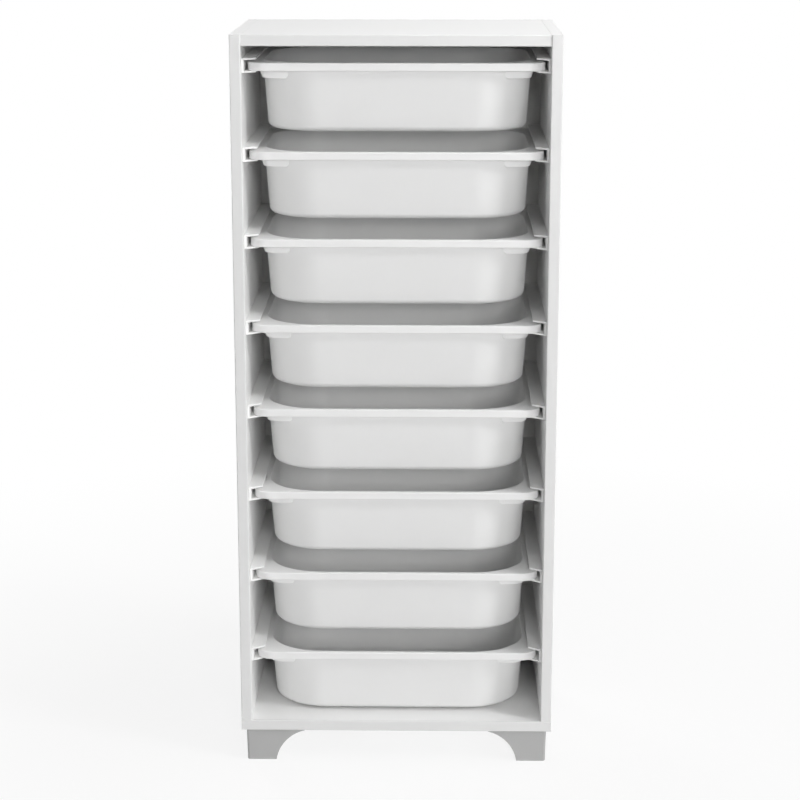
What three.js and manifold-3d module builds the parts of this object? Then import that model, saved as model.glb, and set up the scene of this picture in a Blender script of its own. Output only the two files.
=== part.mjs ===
// Classroom storage cabinet: laminated boards on four moulded feet, with eight slide-out trays.
// Millimetres, +Z up, front towards -Y, origin on the floor under the middle of the cabinet.
import * as THREE from 'three';
import { mergeVertices } from 'three/addons/utils/BufferGeometryUtils.js';
import Module from 'manifold-3d';

// Cabinet
const CABINET_WIDTH = 470;
const CABINET_DEPTH = 330;
const CABINET_HEIGHT = 1095;
const BOARD = 16;
const EDGE_ROUNDING = 1.5;
const TOP_SETBACK = 2;
const BACK_THICKNESS = 4;
const BACK_INSET = 6;
const GROOVE_DEPTH = 6;
const FIT = 0.3;

// Moulded feet: two wings with a hollow arc, meeting at the cabinet's corner
const FOOT_HEIGHT = 50;
const FOOT_FRONT_INSET = 4;
const FOOT_SIDE_INSET = 7;
const FOOT_SPAN = 89;
const FOOT_SOLE = 45;
const FOOT_ARC = 58;
const FOOT_ARC_STEPS = 6;
const FOOT_TIP = 2;
const FOOT_WING = 30;
const FOOT_DRAFT = 1.2;
const FOOT_CORNER = 4;
const FOOT_WALL = 3.5;
const FOOT_SCREW_REACH = 71;
const FOOT_FLANGE = 7;

// Trays
const TRAY_COUNT = 8;
const TRAY_PITCH = 126.4;
const TOP_TRAY_RIM = 1054.5;
const TRAY_WIDTH = 424;
const TRAY_DEPTH = 300;
const TRAY_HEIGHT = 100;
const TRAY_SETBACK = 16.5;
const TRAY_WALL = 2.2;
const RIM_CORNER = 25;
const RIM_ROUNDING = 1.2;
const SKIRT_HEIGHT = 11.5;
const SIDE_LAND = 19.5;
const FRONT_LAND = 7.3;
const OPENING_CORNER = 78;
const SIDE_TAPER = 5.5;
const FRONT_TAPER = 21;
const FLOOR_FILLET = 8;
const SHOULDER_TOP = 5;
const SHOULDER_FOOT = 0;
const SHOULDER_FRONT = 1;
const SHOULDER_DEPTH = 24;
const SHOULDER_STEP = 1;
const SHOULDER_SQUARENESS = 9;
const SHOULDER_START = THREE.MathUtils.degToRad(31.5);
const SHOULDER_EDGE = THREE.MathUtils.degToRad(1.5);
const SHOULDER_TURN = THREE.MathUtils.degToRad(4.5);

// Runners: plastic channels plugged into the side panels
const RUNNER_REACH = 19.5;
const RUNNER_WEB = 3;
const RUNNER_FLANGE = 2.5;
const RUNNER_HEADROOM = 3.8;
const RUNNER_FRONT = 16;
const RUNNER_LENGTH = 303;
const RUNNER_CHAMFER = 13;
const RUNNER_STOP = 2;
const PEG_DIAMETER = 5;
const PEG_LENGTH = 9;
const PEG_FRONT_ROW = 37;
const PEG_SPACING = 256;

// Fittings that hold the boards together
const CAM_DIAMETER = 15;
const CAM_HEIGHT = 12;
const CAM_FROM_END = 24;
const CAM_SLOT = 2;
const CAM_SLOT_LENGTH = 10;
const CAM_SLOT_DEPTH = 1.5;
const BOLT_CHANNEL = 8;
const BOLT_HEAD = 6.4;
const BOLT_NECK = 4.4;
const BOLT_THREAD = 5.4;
const BOLT_THREAD_LENGTH = 11;
const BOLT_HEAD_LENGTH = 3;
const DOWEL_DIAMETER = 8;
const DOWEL_LENGTH = 30;
const DOWEL_IN_SIDE = 10;
const FITTING_ROWS = [-112, 104];
const DOWEL_ROWS = [-76, 68];
const PANEL_SCREW_ROWS = [-100, 92];
const PANEL_SCREW_LENGTH = 48;
const PANEL_SCREW_HEAD = 10;
const PANEL_SCREW_NECK = 7;
const PANEL_SCREW_CORE = 5;
const FOOT_SCREW_HEAD = 8;
const FOOT_SCREW_HEAD_HEIGHT = 3;
const FOOT_SCREW_SHANK = 4;
const FOOT_SCREW_BITE = 11;
const DRIVE_WIDTH = 4;
const DRIVE_DEPTH = 2;
const ROUND_SIDES = 8;
const PEG_SIDES = 6;

// Derived places
const halfWidth = CABINET_WIDTH / 2;
const frontY = -CABINET_DEPTH / 2;
const rearY = CABINET_DEPTH / 2;
const innerX = halfWidth - BOARD;
const bottomTop = FOOT_HEIGHT + BOARD;
const topUnderside = CABINET_HEIGHT - BOARD;
const boardMiddle = topUnderside + BOARD / 2;
const backRear = rearY - BACK_INSET;
const backFront = backRear - BACK_THICKNESS;
const slotFloor = -SKIRT_HEIGHT - FIT;
const slotHeight = RUNNER_HEADROOM - slotFloor;
const pegDrop = slotHeight / 2 - RUNNER_HEADROOM;
const pegRows = [frontY + PEG_FRONT_ROW, frontY + PEG_FRONT_ROW + PEG_SPACING];
const rimHeights = Array.from({ length: TRAY_COUNT }, (_, i) => TOP_TRAY_RIM - i * TRAY_PITCH);

// Finishes
function finish(color, roughness, metalness = 0) {
  return new THREE.MeshStandardMaterial({ color, roughness, metalness });
}

const whiteBoard = finish(0xf0f0ee, 0.45);
const whitePlastic = finish(0xf2f2f0, 0.35);
const greyPlastic = finish(0xb4b6b7, 0.5);
const zincSteel = finish(0xc9cbcc, 0.35, 1);
const beech = finish(0xd8b98c, 0.7);

// Solid modelling: three.js geometry becomes a manifold solid for joins and cuts
const wasm = await Module();
wasm.setup();

function solid(geometry) {
  const bare = geometry.clone();
  bare.deleteAttribute('normal');
  bare.deleteAttribute('uv');
  const merged = mergeVertices(bare, 1e-4);
  return new wasm.Manifold(new wasm.Mesh({
    numProp: 3,
    vertProperties: new Float32Array(merged.attributes.position.array),
    triVerts: new Uint32Array(merged.index.array),
  }));
}

function geometryOf(manifold) {
  const mesh = manifold.getMesh();
  const geometry = new THREE.BufferGeometry();
  geometry.setAttribute('position', new THREE.BufferAttribute(new Float32Array(mesh.vertProperties), 3));
  geometry.setIndex(new THREE.BufferAttribute(new Uint32Array(mesh.triVerts), 1));
  geometry.computeVertexNormals();
  return geometry;
}

const joinAll = (solids) => solids.reduce((whole, piece) => whole.add(piece));
const cutAll = (base, cuts) => cuts.reduce((whole, cut) => whole.subtract(cut), base);

function block(x0, x1, y0, y1, z0, z1) {
  const box = new THREE.BoxGeometry(x1 - x0, y1 - y0, z1 - z0);
  box.translate((x0 + x1) / 2, (y0 + y1) / 2, (z0 + z1) / 2);
  return solid(box);
}

// A round rod from one point to another, along X, Y or Z
function rod(from, to, diameter, sides = ROUND_SIDES) {
  const start = new THREE.Vector3(...from);
  const axis = new THREE.Vector3(...to).sub(start);
  const cylinder = new THREE.CylinderGeometry(diameter / 2, diameter / 2, axis.length(), sides);
  cylinder.translate(0, axis.length() / 2, 0);
  const upright = new THREE.Vector3(0, 1, 0);
  const turn = new THREE.Quaternion().setFromUnitVectors(upright, axis.clone().normalize());
  cylinder.applyQuaternion(turn);
  cylinder.translate(start.x, start.y, start.z);
  return solid(cylinder);
}

// A turned piece from [radius, height] steps, standing along +Z from the origin
function turned(steps, sides = ROUND_SIDES) {
  const lathe = new THREE.LatheGeometry(steps.map(([r, h]) => new THREE.Vector2(r, h)), sides);
  lathe.rotateX(Math.PI / 2);
  return lathe;
}

function extrude(shape, length, curveSegments = 2) {
  return new THREE.ExtrudeGeometry(shape, { depth: length, bevelEnabled: false, curveSegments });
}

// Board profile with rounded front edges: u runs back from the front edge, v across the thickness
function boardProfile(depth) {
  const r = EDGE_ROUNDING;
  const shape = new THREE.Shape();
  shape.moveTo(r, 0);
  shape.lineTo(depth, 0);
  shape.lineTo(depth, BOARD);
  shape.lineTo(r, BOARD);
  shape.absarc(r, BOARD - r, r, Math.PI / 2, Math.PI, false);
  shape.absarc(r, r, r, Math.PI, 1.5 * Math.PI, false);
  return shape;
}

// Places a profile's u, v and extrusion on three axes of the cabinet
function placed(geometry, uAxis, vAxis, wAxis, origin) {
  const matrix = new THREE.Matrix4().makeBasis(
    new THREE.Vector3(...uAxis), new THREE.Vector3(...vAxis), new THREE.Vector3(...wAxis));
  matrix.setPosition(...origin);
  geometry.applyMatrix4(matrix);
  return geometry;
}

// Stopped groove round the bay that holds the edges of the back panel
function backGroove() {
  const x = innerX + GROOVE_DEPTH;
  const z0 = bottomTop - GROOVE_DEPTH;
  const z1 = topUnderside + GROOVE_DEPTH;
  return block(-x, x, backFront - FIT, backRear + FIT, z0, z1);
}

// Left side panel: peg rows for the runners, and holes for the fittings at both ends
function leftSidePanel() {
  const height = CABINET_HEIGHT - bottomTop;
  const profile = extrude(boardProfile(CABINET_DEPTH), height);
  const board = solid(placed(profile, [0, 1, 0], [-1, 0, 0], [0, 0, 1], [-innerX, frontY, bottomTop]));
  const bore = (y, z, diameter, depth, sides) =>
    rod([-innerX - depth, y, z], [-innerX + 1, y, z], diameter + 2 * FIT, sides);
  const cuts = [backGroove()];
  for (const rim of rimHeights) {
    for (const y of pegRows) {
      cuts.push(bore(y, rim - pegDrop, PEG_DIAMETER, PEG_LENGTH + 1, PEG_SIDES));
    }
  }
  for (const y of FITTING_ROWS) {
    cuts.push(bore(y, boardMiddle, BOLT_THREAD, BOLT_THREAD_LENGTH + FIT));
  }
  for (const y of DOWEL_ROWS) {
    cuts.push(bore(y, boardMiddle, DOWEL_DIAMETER, DOWEL_IN_SIDE + FIT));
  }
  const screwX = -innerX - BOARD / 2;
  const screwTop = FOOT_HEIGHT + PANEL_SCREW_LENGTH + 1;
  for (const y of PANEL_SCREW_ROWS) {
    cuts.push(rod([screwX, y, bottomTop - 1], [screwX, y, screwTop], PANEL_SCREW_CORE + 2 * FIT));
  }
  return cutAll(board, cuts);
}

// Top panel between the sides, with cam and dowel holes near each end
function topPanel() {
  const half = innerX - FIT;
  const front = frontY + TOP_SETBACK;
  const profile = extrude(boardProfile(CABINET_DEPTH - TOP_SETBACK), 2 * half);
  const board = solid(placed(profile, [0, 1, 0], [0, 0, 1], [1, 0, 0], [-half, front, topUnderside]));
  const cuts = [backGroove()];
  for (const side of [-1, 1]) {
    const camX = side * (innerX - CAM_FROM_END);
    const outX = side * (innerX + 1);
    const camTop = topUnderside + CAM_HEIGHT;
    for (const y of FITTING_ROWS) {
      cuts.push(rod([camX, y, topUnderside - 1], [camX, y, camTop], CAM_DIAMETER + 2 * FIT));
      cuts.push(rod([camX, y, boardMiddle], [outX, y, boardMiddle], BOLT_CHANNEL));
    }
    const dowelEnd = side * (innerX + DOWEL_IN_SIDE - DOWEL_LENGTH - FIT);
    for (const y of DOWEL_ROWS) {
      cuts.push(rod([dowelEnd, y, boardMiddle], [outX, y, boardMiddle], DOWEL_DIAMETER + 2 * FIT));
    }
  }
  return cutAll(board, cuts);
}

// Panel screw, head down: countersunk head, plain neck through the bottom panel, core in the side panel
function panelScrewProfile(spare) {
  const head = PANEL_SCREW_HEAD / 2 + spare;
  const neck = PANEL_SCREW_NECK / 2 + spare;
  const core = PANEL_SCREW_CORE / 2 + spare;
  const coneTop = head - neck + 1;
  return [[0, -spare], [head, -spare], [head, 1], [neck, coneTop], [neck, BOARD - 1], [core, BOARD - 1],
    [core, PANEL_SCREW_LENGTH - core], [0, PANEL_SCREW_LENGTH]];
}

const footScrewPlaces = [];
for (const side of [-1, 1]) {
  for (const end of [-1, 1]) {
    const cornerX = side * (halfWidth - FOOT_SIDE_INSET);
    const cornerY = end * (rearY - FOOT_FRONT_INSET);
    const name = `${end < 0 ? 'front' : 'rear'}_${side < 0 ? 'left' : 'right'}`;
    const across = [cornerX - side * FOOT_SCREW_REACH, cornerY - end * FOOT_WING / 2];
    const along = [cornerX - side * FOOT_WING / 2, cornerY - end * FOOT_SCREW_REACH];
    footScrewPlaces.push({ name: `foot_screw_${name}_a`, at: across });
    footScrewPlaces.push({ name: `foot_screw_${name}_b`, at: along });
  }
}

// Bottom panel: runs under both side panels, screwed up into them
function bottomPanel() {
  const profile = extrude(boardProfile(CABINET_DEPTH), CABINET_WIDTH);
  const board = solid(placed(profile, [0, 1, 0], [0, 0, -1], [-1, 0, 0], [halfWidth, frontY, bottomTop]));
  const cuts = [backGroove()];
  for (const side of [-1, 1]) {
    for (const y of PANEL_SCREW_ROWS) {
      const hole = turned(panelScrewProfile(FIT));
      hole.translate(side * (innerX + BOARD / 2), y, FOOT_HEIGHT);
      cuts.push(solid(hole));
    }
  }
  for (const { at: [x, y] } of footScrewPlaces) {
    const pilotTop = FOOT_HEIGHT + FOOT_SCREW_BITE + FIT;
    cuts.push(rod([x, y, FOOT_HEIGHT - 1], [x, y, pilotTop], FOOT_SCREW_SHANK + 2 * FIT, PEG_SIDES));
  }
  return cutAll(board, cuts);
}

function backPanel() {
  const reach = GROOVE_DEPTH - 2 * FIT;
  const x = innerX + reach;
  return block(-x, x, backFront, backRear, bottomTop - reach, topUnderside + reach);
}

// Wing of a foot, seen square on: u from the cabinet's corner, v up, with the hollow arc under its free end
function footWing() {
  const start = new THREE.Vector2(FOOT_SOLE, 0);
  const end = new THREE.Vector2(FOOT_SPAN, FOOT_HEIGHT - FOOT_TIP);
  const middle = start.clone().add(end).multiplyScalar(0.5);
  const chord = end.clone().sub(start);
  const drop = Math.sqrt(FOOT_ARC ** 2 - chord.lengthSq() / 4);
  const centre = middle.add(new THREE.Vector2(chord.y, -chord.x).normalize().multiplyScalar(drop));
  const angle = (p) => Math.atan2(p.y - centre.y, p.x - centre.x);
  const shape = new THREE.Shape();
  shape.moveTo(0, 0);
  shape.lineTo(start.x, start.y);
  shape.absarc(centre.x, centre.y, FOOT_ARC, angle(start), angle(end), true);
  shape.lineTo(FOOT_SPAN, FOOT_HEIGHT);
  shape.lineTo(0, FOOT_HEIGHT);
  return shape;
}

// Rounded-rectangle envelope that narrows downwards, to draft the outer faces of a foot
function footEnvelope() {
  const size = 2 * FOOT_SPAN;
  const shape = new THREE.Shape();
  const r = FOOT_CORNER;
  shape.moveTo(size, 0);
  shape.lineTo(size, size);
  shape.lineTo(0, size);
  shape.lineTo(0, r);
  shape.absarc(r, r, r, Math.PI, 1.5 * Math.PI, false);
  const geometry = extrude(shape, FOOT_HEIGHT);
  const position = geometry.attributes.position;
  for (let i = 0; i < position.count; i += 1) {
    const inset = FOOT_DRAFT * (1 - position.getZ(i) / FOOT_HEIGHT);
    position.setXY(i, position.getX(i) + inset, position.getY(i) + inset);
  }
  return solid(geometry);
}

// Foot at the corner where x and y run into the cabinet: two wings, hollowed from above, with screw holes
function footSolid() {
  const wing = () => extrude(footWing(), FOOT_WING, FOOT_ARC_STEPS);
  const wingX = solid(placed(wing(), [1, 0, 0], [0, 0, 1], [0, -1, 0], [0, FOOT_WING, 0]));
  const wingY = solid(placed(wing(), [0, 1, 0], [0, 0, 1], [1, 0, 0], [0, 0, 0]));
  const body = wingX.add(wingY).intersect(footEnvelope());
  const low = FOOT_WALL + FOOT_DRAFT;
  const high = FOOT_WING - FOOT_WALL;
  const far = FOOT_SOLE - FOOT_WALL;
  const above = FOOT_HEIGHT + 1;
  const cuts = [
    block(low, far, low, high, FOOT_WALL, above).add(block(low, high, low, far, FOOT_WALL, above)),
  ];
  const flangeUnder = FOOT_HEIGHT - FOOT_FLANGE;
  for (const [x, y] of [[FOOT_SCREW_REACH, FOOT_WING / 2], [FOOT_WING / 2, FOOT_SCREW_REACH]]) {
    cuts.push(rod([x, y, -1], [x, y, flangeUnder], FOOT_SCREW_HEAD + 2, ROUND_SIDES));
    cuts.push(rod([x, y, -1], [x, y, above], FOOT_SCREW_SHANK + 2 * FIT, PEG_SIDES));
  }
  return cutAll(body, cuts);
}

// Runner on the left side: channel open to the tray, with its front cut at a slant, a stop and two pegs.
// z = 0 is the rim's top.
function runnerSolid() {
  const back = -innerX;
  const edge = back + RUNNER_REACH;
  const y0 = frontY + RUNNER_FRONT;
  const y1 = y0 + RUNNER_LENGTH;
  const floor = slotFloor;
  const ceiling = RUNNER_HEADROOM;
  const profile = new THREE.Shape();
  profile.moveTo(back, floor - RUNNER_FLANGE);
  profile.lineTo(edge, floor - RUNNER_FLANGE);
  profile.lineTo(edge, floor);
  profile.lineTo(back + RUNNER_WEB, floor);
  profile.lineTo(back + RUNNER_WEB, ceiling);
  profile.lineTo(edge, ceiling);
  profile.lineTo(edge, ceiling + RUNNER_FLANGE);
  profile.lineTo(back, ceiling + RUNNER_FLANGE);
  const length = extrude(profile, RUNNER_LENGTH);
  const channel = solid(placed(length, [1, 0, 0], [0, 0, 1], [0, -1, 0], [0, y1, 0]));
  const stop = block(back + RUNNER_WEB / 2, edge, y1 - RUNNER_STOP, y1, floor - 1, ceiling + 1);
  const slant = new THREE.Shape();
  slant.moveTo(back + RUNNER_WEB, y0 - 1);
  slant.lineTo(edge + 1, y0 - 1);
  slant.lineTo(edge + 1, y0 + RUNNER_CHAMFER * (edge + 1 - back - RUNNER_WEB) / (edge - back - RUNNER_WEB));
  slant.lineTo(back + RUNNER_WEB, y0);
  const wedge = extrude(slant, 2 * slotHeight);
  wedge.translate(0, 0, floor - slotHeight / 2);
  const pegs = pegRows.map((y) =>
    rod([back - PEG_LENGTH, y, -pegDrop], [back + 1, y, -pegDrop], PEG_DIAMETER, PEG_SIDES));
  return joinAll([channel, stop, ...pegs]).subtract(solid(wedge));
}

// Angles round one corner of a tray, from the front or rear face to the side face.
// They lie close together where a shoulder starts and where it turns.
function cornerAngles() {
  const square = Math.PI / 2;
  const turn = Math.atan2(1, Math.cos(SHOULDER_START));
  const start = SHOULDER_START - SHOULDER_EDGE;
  const turned = turn + SHOULDER_TURN;
  return [0, start / 2, start, SHOULDER_START, turn - SHOULDER_TURN, turned, (turned + square) / 2, square];
}

const TRAY_CORNER_ANGLES = cornerAngles();

// Reach of a shoulder from the centre of a tray's corner: its own corner is squarer than the wall's,
// with a flat front behind the tray's front and sides that stand out by the given distance
function shoulderReach(angle, radius, side) {
  if (angle < SHOULDER_START) return radius;
  const front = radius * Math.cos(SHOULDER_START) + SHOULDER_FRONT;
  const across = (Math.sin(angle) / (radius + side)) ** SHOULDER_SQUARENESS;
  const along = (Math.cos(angle) / front) ** SHOULDER_SQUARENESS;
  return (across + along) ** (-1 / SHOULDER_SQUARENESS);
}

// Plan outline of a tray at one height, counter-clockwise from above, about the tray's middle.
// The corners mirror one another.
function trayOutline(halfX, halfY, radius, z, shoulder = null) {
  const ring = [];
  for (const [sx, sy] of [[1, -1], [1, 1], [-1, 1], [-1, -1]]) {
    const corner = TRAY_CORNER_ANGLES.map((angle) => {
      const reach = shoulder === null ? radius : shoulderReach(angle, radius, shoulder);
      const x = halfX - radius + reach * Math.sin(angle);
      const y = halfY - radius + reach * Math.cos(angle);
      return new THREE.Vector3(sx * x, sy * y, z);
    });
    if (sx * sy > 0) corner.reverse();
    ring.push(...corner);
  }
  return ring;
}

// Skin through a run of outlines, closed by a flat fan at each end
function skin(rings) {
  const count = rings[0].length;
  const points = rings.flat();
  const index = [];
  const last = (rings.length - 1) * count;
  for (let j = 1; j < count - 1; j += 1) {
    index.push(0, j, j + 1);
    index.push(last, last + j + 1, last + j);
  }
  for (let i = 0; i < rings.length - 1; i += 1) {
    for (let j = 0; j < count; j += 1) {
      const a = i * count + j;
      const b = i * count + (j + 1) % count;
      index.push(a, a + count, b, b, a + count, b + count);
    }
  }
  const geometry = new THREE.BufferGeometry().setFromPoints(points);
  geometry.setIndex(index);
  geometry.computeVertexNormals();
  return geometry;
}

// Tray: thin drafted shell under a broad rim with a turned-down skirt.
// Square shoulders under the rim's corners keep the tray centred between its runners.
// z = 0 is the rim's top.
function trayGeometry() {
  const rimX = TRAY_WIDTH / 2;
  const rimY = TRAY_DEPTH / 2;
  const openX = rimX - SIDE_LAND;
  const openY = rimY - FRONT_LAND;
  const rim = (inset, z) => trayOutline(rimX - inset, rimY - inset, RIM_CORNER - inset, z);
  const wall = (outward, z, shoulder) => {
    const drop = -z / TRAY_HEIGHT;
    const halfX = openX + outward - SIDE_TAPER * drop;
    const halfY = openY + outward - FRONT_TAPER * drop;
    return trayOutline(halfX, halfY, OPENING_CORNER + outward, z, shoulder);
  };
  const floorTop = -TRAY_HEIGHT + TRAY_WALL;
  const shift = FLOOR_FILLET * (1 - Math.SQRT1_2);
  return skin([
    wall(-FLOOR_FILLET, floorTop),
    wall(0, floorTop + FLOOR_FILLET),
    wall(0, 0),
    rim(RIM_ROUNDING, 0),
    rim(0, -RIM_ROUNDING),
    rim(0, -SKIRT_HEIGHT),
    rim(TRAY_WALL, -SKIRT_HEIGHT),
    rim(TRAY_WALL, -TRAY_WALL),
    wall(TRAY_WALL, -TRAY_WALL, SHOULDER_TOP),
    wall(TRAY_WALL, -SHOULDER_DEPTH, SHOULDER_FOOT),
    wall(TRAY_WALL, -SHOULDER_DEPTH - SHOULDER_STEP),
    wall(TRAY_WALL, -TRAY_HEIGHT + FLOOR_FILLET),
    wall(TRAY_WALL - shift, -TRAY_HEIGHT + shift),
    wall(TRAY_WALL - FLOOR_FILLET, -TRAY_HEIGHT),
  ]);
}

// Cam lock in the underside of the top panel: the bolt's head lies in its channel
function camSolid(side, y) {
  const x = side * (innerX - CAM_FROM_END);
  const z0 = topUnderside + FIT;
  const z1 = topUnderside + CAM_HEIGHT - FIT;
  const body = rod([x, y, z0], [x, y, z1], CAM_DIAMETER);
  const channelEnd = x - side * BOLT_HEAD / 2;
  const channelMouth = x + side * CAM_DIAMETER;
  const channel = rod([channelEnd, y, boardMiddle], [channelMouth, y, boardMiddle], BOLT_CHANNEL);
  const halfLength = CAM_SLOT_LENGTH / 2;
  const halfSlot = CAM_SLOT / 2;
  const slotTop = z0 + CAM_SLOT_DEPTH;
  const slot = block(x - halfLength, x + halfLength, y - halfSlot, y + halfSlot, z0 - 1, slotTop);
  return cutAll(body, [channel, slot]);
}

// Cam bolt: thread in the side panel, slim neck, round head in the cam
function camBoltGeometry(side, y) {
  const reach = BOLT_THREAD_LENGTH + CAM_FROM_END;
  const thread = BOLT_THREAD / 2;
  const neck = BOLT_NECK / 2;
  const head = BOLT_HEAD / 2;
  const bolt = turned([[0, 0], [thread, 1], [thread, BOLT_THREAD_LENGTH], [neck, BOLT_THREAD_LENGTH + 1],
    [neck, reach - BOLT_HEAD_LENGTH], [head, reach - BOLT_HEAD_LENGTH], [head, reach - 1], [0, reach]]);
  bolt.rotateY(-side * Math.PI / 2);
  bolt.translate(side * (innerX + BOLT_THREAD_LENGTH), y, boardMiddle);
  return bolt;
}

function dowelGeometry(side, y) {
  const r = DOWEL_DIAMETER / 2;
  const far = DOWEL_LENGTH;
  const dowel = turned([[0, 0], [r - 1, 0], [r, 1], [r, far - 1], [r - 1, far], [0, far]]);
  dowel.rotateY(-side * Math.PI / 2);
  dowel.translate(side * (innerX + DOWEL_IN_SIDE), y, boardMiddle);
  return dowel;
}

// Square drive recess in a screw's head, open downwards
function driveRecess() {
  const half = DRIVE_WIDTH / 2;
  return block(-half, half, -half, half, -1, DRIVE_DEPTH);
}

function panelScrewGeometry() {
  const screw = solid(turned(panelScrewProfile(0)));
  return geometryOf(screw.subtract(driveRecess()));
}

function footScrewGeometry() {
  const head = FOOT_SCREW_HEAD / 2;
  const shank = FOOT_SCREW_SHANK / 2;
  const length = FOOT_SCREW_HEAD_HEIGHT + FOOT_FLANGE + FOOT_SCREW_BITE;
  const screw = turned([[0, 0], [head - 1, 0], [head, 1], [head, FOOT_SCREW_HEAD_HEIGHT],
    [shank, FOOT_SCREW_HEAD_HEIGHT], [shank, length - 2 * shank], [0, length]]);
  return geometryOf(solid(screw).subtract(driveRecess()));
}

// Assembly
const cabinet = new THREE.Group();

function piece(name, geometry, material, parent = cabinet) {
  const mesh = new THREE.Mesh(geometry, material);
  mesh.name = name;
  parent.add(mesh);
  return mesh;
}

// Mirror image of a solid in the cabinet's middle plane, faces still pointing out
function mirrored(geometry, mirrorX, mirrorY) {
  const copy = geometry.clone();
  copy.scale(mirrorX ? -1 : 1, mirrorY ? -1 : 1, 1);
  if (mirrorX !== mirrorY) {
    const index = copy.index.array;
    for (let i = 0; i < index.length; i += 3) {
      [index[i + 1], index[i + 2]] = [index[i + 2], index[i + 1]];
    }
  }
  copy.computeVertexNormals();
  return copy;
}

const leftPanel = geometryOf(leftSidePanel());
piece('left_side_panel', leftPanel, whiteBoard);
piece('right_side_panel', mirrored(leftPanel, true, false), whiteBoard);
piece('top_panel', geometryOf(topPanel()), whiteBoard);
piece('bottom_panel', geometryOf(bottomPanel()), whiteBoard);
piece('back_panel', geometryOf(backPanel()), whiteBoard);

const foot = geometryOf(footSolid());
for (const side of [-1, 1]) {
  for (const end of [-1, 1]) {
    const name = `foot_${end < 0 ? 'front' : 'rear'}_${side < 0 ? 'left' : 'right'}`;
    const mesh = piece(name, mirrored(foot, side > 0, end > 0), greyPlastic);
    mesh.position.set(side * (halfWidth - FOOT_SIDE_INSET), end * (rearY - FOOT_FRONT_INSET), 0);
  }
}
for (const { name, at: [x, y] } of footScrewPlaces) {
  const seat = FOOT_HEIGHT - FOOT_FLANGE - FOOT_SCREW_HEAD_HEIGHT;
  piece(name, footScrewGeometry(), zincSteel).position.set(x, y, seat);
}

const runnerLeft = geometryOf(runnerSolid());
const runnerRight = mirrored(runnerLeft, true, false);
const tray = trayGeometry();
rimHeights.forEach((rim, i) => {
  const bay = new THREE.Group();
  bay.position.z = rim;
  cabinet.add(bay);
  piece(`runner_left_${i + 1}`, runnerLeft, whitePlastic, bay);
  piece(`runner_right_${i + 1}`, runnerRight, whitePlastic, bay);
  piece(`tray_${i + 1}`, tray, whitePlastic, bay).position.y = frontY + TRAY_SETBACK + TRAY_DEPTH / 2;
});

for (const side of [-1, 1]) {
  const sideName = side < 0 ? 'left' : 'right';
  ['front', 'rear'].forEach((end, i) => {
    piece(`cam_lock_${end}_${sideName}`, geometryOf(camSolid(side, FITTING_ROWS[i])), zincSteel);
    piece(`cam_bolt_${end}_${sideName}`, camBoltGeometry(side, FITTING_ROWS[i]), zincSteel);
    piece(`dowel_${end}_${sideName}`, dowelGeometry(side, DOWEL_ROWS[i]), beech);
    const screw = piece(`panel_screw_${end}_${sideName}`, panelScrewGeometry(), zincSteel);
    screw.position.set(side * (innerX + BOARD / 2), PANEL_SCREW_ROWS[i], FOOT_HEIGHT);
  });
}

export default cabinet;
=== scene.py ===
"""Dresses the tray storage unit: boards, feet, runners, trays and fittings, and the stage they stand on."""
import math

import bmesh
import bpy
from bpy.props import FloatProperty, FloatVectorProperty, PointerProperty
from mathutils import Matrix, Vector


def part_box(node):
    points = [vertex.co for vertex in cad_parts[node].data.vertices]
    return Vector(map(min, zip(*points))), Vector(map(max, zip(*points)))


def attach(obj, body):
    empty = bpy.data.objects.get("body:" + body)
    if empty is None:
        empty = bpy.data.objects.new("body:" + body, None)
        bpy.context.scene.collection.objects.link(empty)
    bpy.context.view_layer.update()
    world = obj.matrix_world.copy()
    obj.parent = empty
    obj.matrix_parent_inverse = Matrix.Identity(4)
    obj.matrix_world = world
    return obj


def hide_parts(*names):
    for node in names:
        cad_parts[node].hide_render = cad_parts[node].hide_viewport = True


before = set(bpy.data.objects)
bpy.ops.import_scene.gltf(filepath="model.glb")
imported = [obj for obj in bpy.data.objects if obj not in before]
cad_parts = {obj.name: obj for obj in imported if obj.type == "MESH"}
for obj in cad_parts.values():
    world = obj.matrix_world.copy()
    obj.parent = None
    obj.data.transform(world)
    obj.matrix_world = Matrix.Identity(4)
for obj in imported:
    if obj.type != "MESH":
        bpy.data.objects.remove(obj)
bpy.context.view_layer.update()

bl_info = {
    "name": "Tray storage unit",
    "version": (1, 0, 0),
    "blender": (4, 5, 0),
    "location": "View3D > Sidebar > Tray unit",
    "description": "Builds the finished pieces of a classroom tray storage unit around its frame",
    "category": "Object",
}

MM = 0.001
CABINET = "cabinet"
TRAY_NUMBERS = range(1, 9)
SIDES = {"left": -1, "right": 1}
ENDS = {"front": -1, "rear": 1}
BOARDS = ("left_side_panel", "right_side_panel", "top_panel", "bottom_panel")
WING_ARC_STEPS = 18
FOOT_CORNER_STEPS = 6
PEG_FACETS = 16
BORE_FACETS = 32
LATHE_FACETS = 32


def length(label, description, default):
    """A length in metres, written in millimetres."""
    return FloatProperty(name=label, description=description, default=default * MM, unit="LENGTH",
                         precision=5)


def angle(label, description, default):
    """An angle in radians, written in degrees."""
    return FloatProperty(name=label, description=description, default=math.radians(default), subtype="ANGLE")


def power(label, description, default):
    """A lamp's power in watts."""
    return FloatProperty(name=label, description=description, default=default, unit="POWER")


def factor(label, description, default):
    """A plain share or strength."""
    return FloatProperty(name=label, description=description, default=default, subtype="FACTOR")


def colour(label, description, default):
    """A linear colour."""
    return FloatVectorProperty(name=label, description=description, default=default, subtype="COLOR",
                               size=3, min=0.0, max=1.0)


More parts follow.
